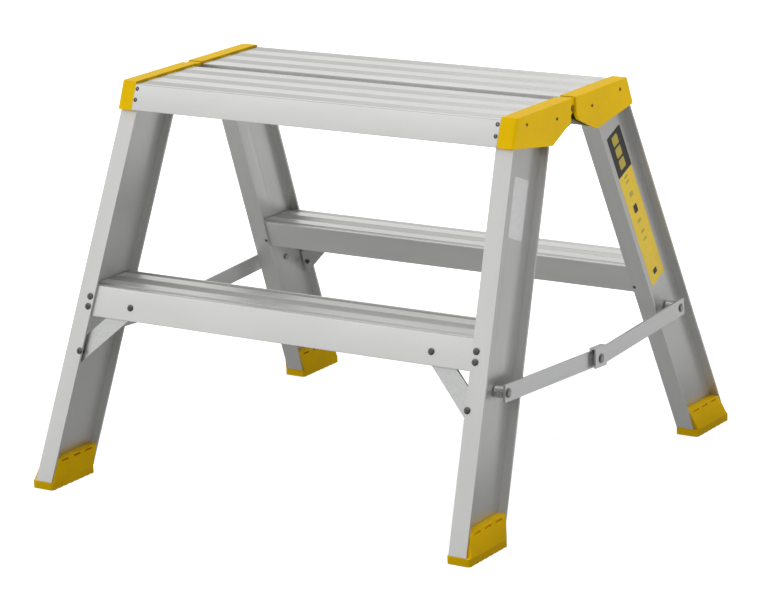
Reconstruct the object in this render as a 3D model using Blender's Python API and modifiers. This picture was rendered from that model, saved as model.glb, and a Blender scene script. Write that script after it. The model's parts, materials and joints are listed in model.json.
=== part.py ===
"""Folding double-sided step trestle in aluminium.

Two ladder frames, each with a grooved top plank and one middle step, are hinged together along the
top and held open by a folding stay at each end. The front frame is on the -Y side, the platform runs
along X, and the floor is Z = 0. Every repeated piece is shaped once at the back right corner (+X, +Y)
and mirrored to the other corners. Lengths are metres.
"""

import math

import bmesh
import bpy
from mathutils import Matrix, Vector

MM = 0.001
GAP = 0.3 * MM                      # clearance between neighbours that touch
WELD = 0.01 * MM                    # corners closer than this are one corner
BEYOND = 10 * MM                    # how far a cutting shape passes the faces it cuts
BITE = 1 * MM                       # how far two shapes reach into each other to join

# Overall shape
HEIGHT = 500 * MM                   # floor to the top of an end cap
HALF_LENGTH = 298 * MM              # middle of the platform to the face of an end cap
HALF_DEPTH = 133.2 * MM             # hinge line to the outer edge of a plank, at the top
LEAN = 0.405                        # a stile moves this far in Y for each unit of height
SPLAY = 0.0672                      # and this far in X
FOOT_X = 314.4 * MM                 # where a stile's centre line meets the floor
FOOT_Y = 285.5 * MM

# Stile, an I section, measured on a level cut
STILE_WIDTH = 25 * MM
STILE_DEPTH = 87.4 * MM
FLANGE = 3.2 * MM
WEB = 2.5 * MM
STILE_BOTTOM = 10.3 * MM
STILE_TOP = 493.6 * MM

# Hinge and its brackets
HINGE_Z = 486 * MM
HALF_SPLIT = 10 * MM                # hinge line to the inner edge of a plank
EYE_RADIUS = 8 * MM
PIN_RADIUS = 3 * MM
BRACKET = 2.8 * MM                  # thickness of a hinge bracket
BRACKET_INNER_X = 287.1 * MM        # inner face of the bracket that lies nearer the middle
BRACKET_REACH_Y = 108 * MM
BRACKET_RISE = 7.7 * MM             # hinge line to the plate's top edge
BRACKET_END_DROP = 18 * MM          # hinge line to the low corner at the plate's far end
BRACKET_INSET = 2 * MM              # plate's lowest point above the cap's
BRACKET_KNEE = (2 * MM, 466 * MM)   # where the plate shows below the cap, beside the hinge
PIN_HEAD = (3.8 * MM, 2.2 * MM)     # radius and height
PIN_HEAD_FLAT = (2.6 * MM, 1.4 * MM)        # radius of its flat top and height of its rim
PIN_TAIL = (4.6 * MM, 1.1 * MM)

# End caps
CAP_START_X = 275.3 * MM
CAP_SKIN = 3.5 * MM
CAP_FACE = 4.5 * MM                 # thickness of the end face
CAP_WALL = 6.2 * MM                 # thickness of the outer wall, measured level
CAP_CORNER = 4 * MM                 # radius of the outer corner
CAP_DROP = 35 * MM                  # height of the outer wall
CAP_LOW_Y = 54 * MM                 # lowest point of the end face
CAP_LOW_Z = 450 * MM
CAP_STOP = {"wide": 4.2 * MM, "short": 9 * MM}      # where the face ends beside the hinge
CAP_STOP_Z = {"wide": 479 * MM, "short": 471 * MM}
CAP_WAIST = (9.5 * MM, 470.5 * MM)
TONGUE = 13 * MM                    # how far the cap reaches inside the plank
TONGUE_THICK = 2.9 * MM
TONGUE_INSET = 2 * MM               # clearance above and below the tongue

# Planks and middle steps, channels open underneath with shallow recesses along their tops
PLANK_END_X = 275 * MM
PLANK_TOP = 497 * MM                # the caps stand proud of it
PLANK_DROP = 32 * MM
PLANK_INNER_DROP = 19 * MM
SKIN = 2.6 * MM
WALL = 2.7 * MM
RECESS_DEPTH = 0.8 * MM
RECESS_SIDE = 1 * MM                # how far a recess's side slopes inwards
PLANK_RECESSES = ((20, 40), (60, 80), (100, 120))   # millimetres from the inner edge
STEP_RECESSES = ((4, 13), (30, 50), (67, 76))
STEP_Z = 250 * MM
STEP_DROP = 37.5 * MM
STEP_END_X = 294.6 * MM

# Feet
SOLE_SIZE = (33 * MM, 87 * MM, 10 * MM)
SOLE_CENTRE = (315.3 * MM, 282.5 * MM)
SOLE_CORNER = 4 * MM
CHEEK_TOP = 37 * MM                 # here a cheek is flush with the flanges
CHEEK_INSET = 0.2 * MM              # cheek's low edge behind the sole's side

# Corner braces between the middle step and the stiles
BRACE_THICK = 3 * MM
BRACE_HALF_WIDTH = 12 * MM
BRACE_STEP_END = (228 * MM, 229.7 * MM)     # X and Z of the rivet in the step
BRACE_STILE_END = (293.5 * MM, 170.7 * MM)  # X and Z of the rivet in the stile
BRACE_OVERRUN = 10 * MM
BRACE_STOP_X = 299.6 * MM

# Folding stays
STAY_Z = 183 * MM                   # height of the end pivots, on the stile's centre line
STAY_SAG = 12 * MM                  # the middle pivot hangs this far below the end pivots
BAR_HALF_HEIGHT = 11 * MM
BAR_THICK = 3 * MM
BAR_CHAMFER = 5 * MM                # cut corners of the front bar's tail
INNER_BAR_X = 318.5 * MM            # inner face of the front bar
OUTER_BAR_X = 322 * MM              # inner face of the rear bar
FRONT_BAR_END = 7 * MM              # bar beyond its pivot on the stile
FRONT_BAR_TAIL = 26 * MM            # bar beyond the middle pivot
REAR_BAR_END = 9 * MM
SADDLE_HALF = 14 * MM
SADDLE_RISE = 13 * MM               # bar centre line to the underside of the saddle's top
SADDLE_THICK = 2 * MM
SADDLE_X = 325.5 * MM
SPACER_RADIUS = 7.5 * MM
SPACER_START_X = 304.3 * MM

# Rivets
SHANK = 2.4 * MM
HEAD = 4.4 * MM
HEAD_HEIGHT = 1.5 * MM
TAIL_HEIGHT = 1.5 * MM
TAIL_LIP = 1 * MM                   # how far a rivet's tail spreads past its shank
SHOULDER = (0.65, 0.85)             # rounded part of a head, as shares of its radius and height
PIVOT_SHANK = 3 * MM
PIVOT_HEAD = 6 * MM
HOLE_CLEARANCE = 0.4 * MM
STEP_RIVETS_Z = (236.7 * MM, 224.6 * MM)
STEP_RIVET_INSET = 6.3 * MM         # from the stile's centre line
FLANGE_BORE = 14 * MM               # depth of a rivet's hole from the outer flange's face

ROUND = 16                          # sides of pins, spacers and bores
RIVET_SIDES = 8
SHARP = math.radians(30)            # a fold tighter than this stays a crisp edge
AXIS_MARK = 20 * MM                 # drawn size of a joint's axis

CORNERS = {
    "front_left": (-1, -1),
    "front_right": (1, -1),
    "back_left": (-1, 1),
    "back_right": (1, 1),
}
ENDS = {"left": -1, "right": 1}
SIDES = {"front": -1, "back": 1}


# ---------------------------------------------------------------- scene and materials

def clear_scene():
    for old in list(bpy.data.objects):
        bpy.data.objects.remove(old, do_unlink=True)


def new_collection(name):
    collection = bpy.data.collections.new(name)
    bpy.context.scene.collection.children.link(collection)
    return collection


def material(name, colour, roughness, metallic):
    made = bpy.data.materials.new(name)
    made.use_nodes = True
    shader = made.node_tree.nodes["Principled BSDF"]
    shader.inputs["Base Color"].default_value = (*colour, 1)
    shader.inputs["Roughness"].default_value = roughness
    shader.inputs["Metallic"].default_value = metallic
    return made


def mill_aluminium():
    return material("mill_aluminium", (0.72, 0.72, 0.71), 0.38, 1)


def yellow_plastic():
    return material("yellow_plastic", (0.82, 0.60, 0.01), 0.4, 0)


def zinc_steel():
    return material("zinc_steel", (0.56, 0.57, 0.58), 0.32, 1)


# ---------------------------------------------------------------- mesh tools

def evaluated_mesh(source):
    """The object's mesh with its modifiers applied, in world space; the object is removed."""
    depsgraph = bpy.context.evaluated_depsgraph_get()
    depsgraph.update()
    mesh = bpy.data.meshes.new_from_object(source.evaluated_get(depsgraph))
    mesh.transform(source.matrix_world)
    bpy.data.objects.remove(source, do_unlink=True)
    return mesh


def linked_object(name, data):
    made = bpy.data.objects.new(name, data)
    bpy.context.scene.collection.objects.link(made)
    return made


def outline_mesh(points, start, end):
    """A flat outline in X and Y, made solid from Z = start to Z = end."""
    curve = bpy.data.curves.new("outline", "CURVE")
    curve.dimensions = "2D"
    curve.fill_mode = "BOTH"
    curve.extrude = (end - start) / 2
    spline = curve.splines.new("POLY")
    spline.points.add(len(points) - 1)
    for point, (x, y) in zip(spline.points, points):
        point.co = (x, y, 0, 1)
    spline.use_cyclic_u = True
    guide = linked_object("outline", curve)
    guide.location.z = (start + end) / 2
    bpy.context.view_layer.update()
    mesh = evaluated_mesh(guide)
    bm = bmesh.new()
    bm.from_mesh(mesh)
    bmesh.ops.remove_doubles(bm, verts=bm.verts, dist=WELD)
    bmesh.ops.recalc_face_normals(bm, faces=bm.faces)
    bm.to_mesh(mesh)
    bm.free()
    return mesh


def along_x(points, start, end):
    """An outline given in Y and Z, made solid along X."""
    mesh = outline_mesh(points, start, end)
    mesh.transform(Matrix(((0, 0, 1, 0), (1, 0, 0, 0), (0, 1, 0, 0), (0, 0, 0, 1))))
    return mesh


def along_y(points, start, end):
    """An outline given in X and Z, made solid along Y."""
    mesh = outline_mesh([(z, x) for x, z in points], start, end)
    mesh.transform(Matrix(((0, 1, 0, 0), (0, 0, 1, 0), (1, 0, 0, 0), (0, 0, 0, 1))))
    return mesh


def box_mesh(low, high):
    bm = bmesh.new()
    bmesh.ops.create_cube(bm, size=1)
    size = [b - a for a, b in zip(low, high)]
    centre = [(a + b) / 2 for a, b in zip(low, high)]
    bmesh.ops.scale(bm, vec=size, verts=bm.verts)
    bmesh.ops.translate(bm, vec=centre, verts=bm.verts)
    mesh = bpy.data.meshes.new("box")
    bm.to_mesh(mesh)
    bm.free()
    return mesh


def rod_mesh(radius, start, end, sides=ROUND):
    """A round bar between two points."""
    start, end = Vector(start), Vector(end)
    bm = bmesh.new()
    bmesh.ops.create_cone(
        bm, cap_ends=True, segments=sides, radius1=radius, radius2=radius, depth=(end - start).length
    )
    mesh = bpy.data.meshes.new("rod")
    bm.to_mesh(mesh)
    bm.free()
    turn = (end - start).to_track_quat("Z", "Y").to_matrix().to_4x4()
    mesh.transform(Matrix.Translation((start + end) / 2) @ turn)
    return mesh


def turned_mesh(profile, sides):
    """A profile of (radius, height) points, from the top of the axis to its foot, turned round Z."""
    bm = bmesh.new()
    points = [bm.verts.new((radius, 0, height)) for radius, height in profile]
    for upper, lower in zip(points, points[1:]):
        bm.edges.new((upper, lower))
    mesh = bpy.data.meshes.new("profile")
    bm.to_mesh(mesh)
    bm.free()
    guide = linked_object("profile", mesh)
    screw = guide.modifiers.new("turn", "SCREW")
    screw.steps = sides
    screw.render_steps = sides
    screw.use_merge_vertices = True
    screw.merge_threshold = WELD
    return evaluated_mesh(guide)


def combined(mesh, others, operation):
    """The mesh after a union with, or a cut by, each of the others."""
    body = linked_object("body", mesh)
    tools = []
    for other in others:
        tool = linked_object("tool", other)
        cutters.objects.link(tool)
        bpy.context.scene.collection.objects.unlink(tool)
        tool.display_type = "WIRE"
        tool.hide_render = True
        boolean = body.modifiers.new("boolean", "BOOLEAN")
        boolean.operation = operation
        boolean.object = tool
        tools.append(tool)
    bpy.context.view_layer.update()
    result = evaluated_mesh(body)
    for tool in tools:
        bpy.data.objects.remove(tool, do_unlink=True)
    return result


def cut(mesh, *others):
    return combined(mesh, others, "DIFFERENCE")


def joined(mesh, *others):
    return combined(mesh, others, "UNION")


def bevelled(mesh, width, segments, chosen):
    """The mesh with its chosen edges rounded; chosen(edge) says which."""
    bm = bmesh.new()
    bm.from_mesh(mesh)
    edges = [edge for edge in bm.edges if chosen(edge)]
    bmesh.ops.bevel(
        bm, geom=edges, offset=width, segments=segments, profile=0.5, affect="EDGES", clamp_overlap=True
    )
    bm.to_mesh(mesh)
    bm.free()
    return mesh


def moved(mesh, matrix):
    """A copy of the mesh, moved by the matrix and with its faces still pointing out."""
    copy = mesh.copy()
    copy.transform(matrix)
    if matrix.determinant() < 0:
        copy.flip_normals()
    return copy


def mirror_matrix(side_x, side_y):
    return Matrix.Diagonal((side_x, side_y, 1, 1))


# ---------------------------------------------------------------- the stile's slanted frame

def leaning(splayed):
    """Turns upright work round a stile's centre line into the leaning frame of the back right stile."""
    splay, foot_x = (SPLAY, FOOT_X) if splayed else (0, 0)
    return Matrix(((1, 0, -splay, foot_x), (0, 1, -LEAN, FOOT_Y), (0, 0, 1, 0), (0, 0, 0, 1)))


def stile_x(z):
    return FOOT_X - SPLAY * z


def stile_y(z):
    return FOOT_Y - LEAN * z


OUTWARD = Vector((0, 1, LEAN)).normalized()     # square to the outer flange


def on_flange(x, z, depth=0):
    """A point at X and Z on the outer flange's face, or that deep behind it."""
    return Vector((x, stile_y(z) + STILE_DEPTH / 2, z)) - OUTWARD * depth


def bore_through_flange(x, z, radius):
    return rod_mesh(radius, on_flange(x, z, -BEYOND), on_flange(x, z, FLANGE_BORE), RIVET_SIDES)


# ---------------------------------------------------------------- pieces at the back right corner

def cap_outline(stop, grow=0):
    """The end face's outline in Y and Z, from the hinge over the top and round; grow enlarges it."""
    fall = CAP_DROP + grow
    return [
        (CAP_STOP[stop] - grow, CAP_STOP_Z[stop]),
        (CAP_STOP[stop] - grow, HEIGHT + grow),
        (HALF_DEPTH + grow, HEIGHT + grow),
        (HALF_DEPTH + grow + LEAN * (fall + grow), HEIGHT - fall),
        (CAP_LOW_Y, CAP_LOW_Z - grow),
        (CAP_WAIST[0], CAP_WAIST[1] - grow),
    ]


def stile_mesh():
    half_width = STILE_WIDTH / 2
    half_depth = STILE_DEPTH / 2
    inside = half_depth - FLANGE
    bar = box_mesh((-half_width, -half_depth, STILE_BOTTOM), (half_width, half_depth, STILE_TOP))
    channels = []
    for near, far in ((WEB / 2, half_width + BEYOND), (-half_width - BEYOND, -WEB / 2)):
        channels.append(box_mesh((near, -inside, -BEYOND), (far, inside, STILE_TOP + BEYOND)))
    mesh = moved(cut(bar, *channels), leaning(True))
    relief = along_x(cap_outline("wide", 2 * GAP), BRACKET_INNER_X - 2 * GAP, HALF_LENGTH)
    rivets = [(stile_x(z) - STEP_RIVET_INSET, z) for z in STEP_RIVETS_Z] + [BRACE_STILE_END]
    bores = [bore_through_flange(x, z, SHANK + HOLE_CLEARANCE) for x, z in rivets]
    pivot_y = stile_y(STAY_Z)
    pivot_bore = rod_mesh(
        PIVOT_SHANK + HOLE_CLEARANCE,
        (stile_x(STAY_Z) - BEYOND, pivot_y, STAY_Z),
        (stile_x(STAY_Z) + BEYOND, pivot_y, STAY_Z),
    )
    return cut(mesh, relief, pivot_bore, *bores)


def foot_mesh():
    half_x, half_y = SOLE_SIZE[0] / 2, SOLE_SIZE[1] / 2
    sole = box_mesh(
        (SOLE_CENTRE[0] - half_x, SOLE_CENTRE[1] - half_y, 0),
        (SOLE_CENTRE[0] + half_x, SOLE_CENTRE[1] + half_y, SOLE_SIZE[2]),
    )

    def upright(edge):
        return abs(edge.verts[0].co.z - edge.verts[1].co.z) > SOLE_SIZE[2] / 2

    sole = bevelled(sole, SOLE_CORNER, 3, upright)
    half_channel = STILE_DEPTH / 2 - FLANGE - GAP
    sole_top = SOLE_SIZE[2]
    cheeks = []
    for side in (-1, 1):
        near = WEB / 2 + GAP
        far = half_x - CHEEK_INSET + side * (SOLE_CENTRE[0] - stile_x(sole_top))
        outline = [
            (side * near, sole_top - BITE),
            (side * far, sole_top - BITE),
            (side * far, sole_top),
            (side * STILE_WIDTH / 2, CHEEK_TOP),
            (side * near, CHEEK_TOP),
        ]
        cheeks.append(moved(along_y(outline, -half_channel, half_channel), leaning(True)))
    return joined(sole, *cheeks)


def brace_mesh():
    start, end = Vector(BRACE_STEP_END), Vector(BRACE_STILE_END)
    along = (end - start).normalized()
    across = Vector((-along.y, along.x)) * BRACE_HALF_WIDTH
    outline = [start - along * BRACE_OVERRUN + across, start - along * BRACE_OVERRUN - across]
    for edge in (-across, across):
        reach = (BRACE_STOP_X - (start + edge).x) / along.x
        outline.append(start + edge + along * reach)
    outer = STILE_DEPTH / 2 - FLANGE - 2 * GAP - WALL
    mesh = moved(along_y([tuple(p) for p in outline], outer - BRACE_THICK, outer), leaning(False))
    bores = [
        bore_through_flange(x, z, SHANK + HOLE_CLEARANCE) for x, z in (BRACE_STEP_END, BRACE_STILE_END)
    ]
    return cut(mesh, *bores)


def cap_mesh(stop):
    """A moulded cup over the end of a plank; stop says how near its face comes to the hinge."""
    block = along_x(cap_outline(stop), CAP_START_X, HALF_LENGTH)

    def outer_corner(edge):
        ends = [v.co for v in edge.verts]
        at_face = all(abs(p.x - HALF_LENGTH) < WELD for p in ends)
        outside = all(p.y > HALF_DEPTH - BITE for p in ends)
        return at_face and outside and abs(ends[0].z - ends[1].z) > CAP_DROP / 2

    block = bevelled(block, CAP_CORNER, 6, outer_corner)
    hollow_top = HEIGHT - CAP_SKIN
    low = CAP_LOW_Z - BEYOND
    inside_top = HALF_DEPTH - CAP_WALL + LEAN * CAP_SKIN
    inside_low = inside_top + LEAN * (hollow_top - low)
    hollow = along_x(
        [(-BEYOND, hollow_top), (inside_top, hollow_top), (inside_low, low), (-BEYOND, low)],
        CAP_START_X - BEYOND,
        HALF_LENGTH - CAP_FACE,
    )
    tongue_top = PLANK_TOP - SKIN - TONGUE_INSET
    tongue_low = HEIGHT - CAP_DROP + TONGUE_INSET
    tongue_outer = HALF_DEPTH - WALL - GAP
    tongue = along_x(
        [
            (tongue_outer + LEAN * (HEIGHT - tongue_top), tongue_top),
            (tongue_outer + LEAN * (HEIGHT - tongue_low), tongue_low),
            (tongue_outer - TONGUE_THICK + LEAN * (HEIGHT - tongue_low), tongue_low),
            (tongue_outer - TONGUE_THICK + LEAN * (HEIGHT - tongue_top), tongue_top),
        ],
        CAP_START_X - TONGUE,
        CAP_START_X + BITE,
    )
    return joined(cut(block, hollow), tongue)


def bracket_mesh(inner_x):
    """The metal plate behind a cap that carries the hinge pin."""
    outline = [
        (0, HINGE_Z + BRACKET_RISE),
        (BRACKET_REACH_Y, HINGE_Z + BRACKET_RISE),
        (BRACKET_REACH_Y, HINGE_Z - BRACKET_END_DROP),
        (CAP_LOW_Y, CAP_LOW_Z + BRACKET_INSET),
        BRACKET_KNEE,
        (0, HINGE_Z - BRACKET_RISE),
    ]
    plate = along_x(outline, inner_x, inner_x + BRACKET)
    eye = rod_mesh(EYE_RADIUS, (inner_x, 0, HINGE_Z), (inner_x + BRACKET, 0, HINGE_Z))
    bore = rod_mesh(
        PIN_RADIUS + HOLE_CLEARANCE,
        (inner_x - BEYOND, 0, HINGE_Z),
        (inner_x + BRACKET + BEYOND, 0, HINGE_Z),
    )
    return cut(joined(plate, eye), bore)


def hinge_pin_mesh():
    """A headed pin through both brackets, its head in the notch between the caps."""
    outer_face = BRACKET_INNER_X + 2 * BRACKET + GAP
    tail_top = -(2 * BRACKET + 3 * GAP)
    tail_end = tail_top - PIN_TAIL[1]
    profile = [
        (0, PIN_HEAD[1]),
        (PIN_HEAD_FLAT[0], PIN_HEAD[1]),
        (PIN_HEAD[0], PIN_HEAD_FLAT[1]),
        (PIN_HEAD[0], 0),
        (PIN_RADIUS, 0),
        (PIN_RADIUS, tail_top),
        (PIN_TAIL[0], tail_top),
        (PIN_TAIL[0], tail_end),
        (0, tail_end),
    ]
    pin = turned_mesh(profile, ROUND)
    place = Matrix.Translation((outer_face + GAP, 0, HINGE_Z))
    pin.transform(place @ Matrix.Rotation(math.pi / 2, 4, "Y"))
    return pin


# ---------------------------------------------------------------- planks and steps

def channel_outline(inner, outer, top, drops, slopes, recesses):
    """A recessed top with a wall down each side, in Y and Z; drops and slopes are (inner, outer)."""
    points = [(outer + slopes[1] * drops[1], top - drops[1]), (outer, top)]
    for near, far in reversed(recesses):
        near, far = inner + near * MM, inner + far * MM
        points += [
            (far, top),
            (far - RECESS_SIDE, top - RECESS_DEPTH),
            (near + RECESS_SIDE, top - RECESS_DEPTH),
            (near, top),
        ]
    points += [
        (inner, top),
        (inner + slopes[0] * drops[0], top - drops[0]),
        (inner + slopes[0] * drops[0] + WALL, top - drops[0]),
        (inner + slopes[0] * SKIN + WALL, top - SKIN),
        (outer + slopes[1] * SKIN - WALL, top - SKIN),
        (outer + slopes[1] * drops[1] - WALL, top - drops[1]),
    ]
    return points


def plank_mesh():
    outer = HALF_DEPTH + LEAN * (HEIGHT - PLANK_TOP)
    drops, slopes = (PLANK_INNER_DROP, PLANK_DROP), (0, LEAN)
    outline = channel_outline(HALF_SPLIT, outer, PLANK_TOP, drops, slopes, PLANK_RECESSES)
    return along_x(outline, -PLANK_END_X, PLANK_END_X)


def step_mesh():
    half_channel = STILE_DEPTH / 2 - FLANGE - GAP
    centre = stile_y(STEP_Z)
    drops, slopes = (STEP_DROP, STEP_DROP), (LEAN, LEAN)
    outline = channel_outline(
        centre - half_channel, centre + half_channel, STEP_Z, drops, slopes, STEP_RECESSES
    )
    mesh = along_x(outline, -STEP_END_X, STEP_END_X)
    bores = []
    for side in ENDS.values():
        places = [(side * (stile_x(z) - STEP_RIVET_INSET), z) for z in STEP_RIVETS_Z]
        places.append((side * BRACE_STEP_END[0], BRACE_STEP_END[1]))
        bores += [bore_through_flange(x, z, SHANK + HOLE_CLEARANCE) for x, z in places]
    return cut(mesh, *bores)


# ---------------------------------------------------------------- rivets

def rivet_mesh(shank, head, grip):
    """Domed head on the outside, round tail behind; Z = 0 is the face it is set in."""
    tail_top = -grip - GAP
    profile = [
        (0, HEAD_HEIGHT + GAP),
        (head * SHOULDER[0], HEAD_HEIGHT * SHOULDER[1] + GAP),
        (head, GAP),
        (shank, GAP),
        (shank, tail_top),
        (shank + TAIL_LIP, tail_top),
        (shank + TAIL_LIP, tail_top - TAIL_HEIGHT),
        (0, tail_top - TAIL_HEIGHT),
    ]
    return turned_mesh(profile, RIVET_SIDES)


def flange_rivet(x, z, depth, grip):
    """A rivet square to the outer flange, its head that deep behind the flange's face."""
    turn = OUTWARD.to_track_quat("Z", "X").to_matrix().to_4x4()
    mesh = rivet_mesh(SHANK, HEAD, grip)
    mesh.transform(Matrix.Translation(on_flange(x, z, depth)) @ turn)
    return mesh


# ---------------------------------------------------------------- stays, at the right end

def stay_angle():
    return math.asin(STAY_SAG / stay_length())


def stay_length():
    return math.hypot(stile_y(STAY_Z), STAY_SAG)


def bar_outline(length, end, tail, round_tail):
    """A bar along +X from its stile pivot at the origin, in X and Z; its tail may be round."""
    half = BAR_HALF_HEIGHT
    points = [(-end, half), (-end, -half)]
    if round_tail:
        for number in range(ROUND // 2 + 1):
            angle = 2 * math.pi * number / ROUND - math.pi / 2
            points.append((length + half * math.cos(angle), half * math.sin(angle)))
    else:
        points += [
            (length + tail - BAR_CHAMFER, -half),
            (length + tail, BAR_CHAMFER - half),
            (length + tail, half - BAR_CHAMFER),
            (length + tail - BAR_CHAMFER, half),
        ]
    return points


def bar_bores(length, inner_x, thick, places):
    near, far = inner_x - BEYOND, inner_x + thick + BEYOND
    return [rod_mesh(PIVOT_SHANK + HOLE_CLEARANCE, (near, at, 0), (far, at, 0)) for at in places]


def front_bar_mesh():
    """The inner bar, along +Y from its pivot at the origin, with the saddle over its far end."""
    length = stay_length()
    outline = bar_outline(length, FRONT_BAR_END, FRONT_BAR_TAIL, False)
    bar = along_x(outline, INNER_BAR_X, INNER_BAR_X + BAR_THICK)
    near, far = length - SADDLE_HALF, length + SADDLE_HALF
    neck = box_mesh(
        (INNER_BAR_X, near, BAR_HALF_HEIGHT - BITE), (INNER_BAR_X + BAR_THICK, far, SADDLE_RISE + BITE)
    )
    top = box_mesh(
        (INNER_BAR_X, near, SADDLE_RISE), (SADDLE_X + SADDLE_THICK, far, SADDLE_RISE + SADDLE_THICK)
    )
    cheek = box_mesh(
        (SADDLE_X, near, -BAR_HALF_HEIGHT), (SADDLE_X + SADDLE_THICK, far, SADDLE_RISE + BITE)
    )
    whole = joined(bar, neck, top, cheek)
    wide = SADDLE_X + SADDLE_THICK - INNER_BAR_X
    bores = bar_bores(length, INNER_BAR_X, BAR_THICK, [0]) + bar_bores(length, INNER_BAR_X, wide, [length])
    return cut(whole, *bores)


def rear_bar_mesh():
    """The outer bar, along +Y from its stile pivot at the origin, with a round far end."""
    length = stay_length()
    bar = along_x(bar_outline(length, REAR_BAR_END, 0, True), OUTER_BAR_X, OUTER_BAR_X + BAR_THICK)
    return cut(bar, *bar_bores(length, OUTER_BAR_X, BAR_THICK, (0, length)))


def spacer_mesh(end_x):
    pivot_y = stile_y(STAY_Z)
    tube = rod_mesh(SPACER_RADIUS, (SPACER_START_X, pivot_y, STAY_Z), (end_x, pivot_y, STAY_Z))
    bore = rod_mesh(
        PIVOT_SHANK + HOLE_CLEARANCE,
        (SPACER_START_X - BEYOND, pivot_y, STAY_Z),
        (end_x + BEYOND, pivot_y, STAY_Z),
    )
    return cut(tube, bore)


def pivot_rivet(face_x, y, z, grip, head):
    mesh = rivet_mesh(PIVOT_SHANK, head, grip)
    mesh.transform(Matrix.Translation((face_x, y, z)) @ Matrix.Rotation(math.pi / 2, 4, "Y"))
    return mesh


# ---------------------------------------------------------------- the assembly

def add_part(name, mesh, finish, parent):
    """A named piece whose mesh is in world space; its origin goes to its parent's axis."""
    part = bpy.data.objects.new(name, mesh)
    parts.objects.link(part)
    mesh.name = name
    mesh.materials.clear()
    mesh.materials.append(finish)
    mesh.shade_smooth()
    mesh.set_sharp_from_angle(angle=SHARP)
    mesh.transform(Matrix.Translation(-parent.location))
    part.parent = parent
    return part


def add_axis(name, location, parent=None):
    empty = bpy.data.objects.new(name, None)
    parts.objects.link(empty)
    empty.location = location
    empty.empty_display_size = AXIS_MARK
    if parent:
        empty.parent = parent
        empty.location = Vector(location) - parent.location
    return empty


def add_corners(frames):
    """Stiles, feet, caps, braces, brackets and their rivets, mirrored to the four corners."""
    skin_behind_flange = FLANGE + GAP
    brace_face = FLANGE + 2 * GAP + WALL
    square = 1 / math.hypot(1, LEAN)            # level thickness to square thickness
    shapes = {
        "stile": (stile_mesh(), aluminium),
        "foot": (foot_mesh(), plastic),
        "brace": (brace_mesh(), aluminium),
    }
    step_grip = (skin_behind_flange + WALL) * square
    for place, z in zip(("upper", "lower"), STEP_RIVETS_Z):
        rivet = flange_rivet(stile_x(z) - STEP_RIVET_INSET, z, 0, step_grip)
        shapes[f"step_rivet_{place}"] = (rivet, steel)
    stile_grip = (brace_face + BRACE_THICK) * square
    shapes["brace_stile_rivet"] = (flange_rivet(*BRACE_STILE_END, 0, stile_grip), steel)
    wall_grip = (WALL + GAP + BRACE_THICK) * square
    wall_depth = skin_behind_flange * square
    shapes["brace_step_rivet"] = (flange_rivet(*BRACE_STEP_END, wall_depth, wall_grip), steel)
    for corner, (side_x, side_y) in CORNERS.items():
        mirror = mirror_matrix(side_x, side_y)
        frame = frames[corner.split("_")[0]]
        for kind, (mesh, finish) in shapes.items():
            add_part(f"{corner}_{kind}", moved(mesh, mirror), finish, frame)
        outer = side_x * side_y < 0             # front right and back left share one pair
        cap = cap_mesh("short" if outer else "wide")
        add_part(f"{corner}_cap", moved(cap, mirror), plastic, frame)
        bracket = bracket_mesh(BRACKET_INNER_X + (BRACKET + GAP if outer else 0))
        add_part(f"{corner}_hinge_bracket", moved(bracket, mirror), steel, frame)


def add_spans(frames):
    plank, step = plank_mesh(), step_mesh()
    for side, sign in SIDES.items():
        mirror = mirror_matrix(1, sign)
        add_part(f"{side}_plank", moved(plank, mirror), aluminium, frames[side])
        add_part(f"{side}_step", moved(step, mirror), aluminium, frames[side])


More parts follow.
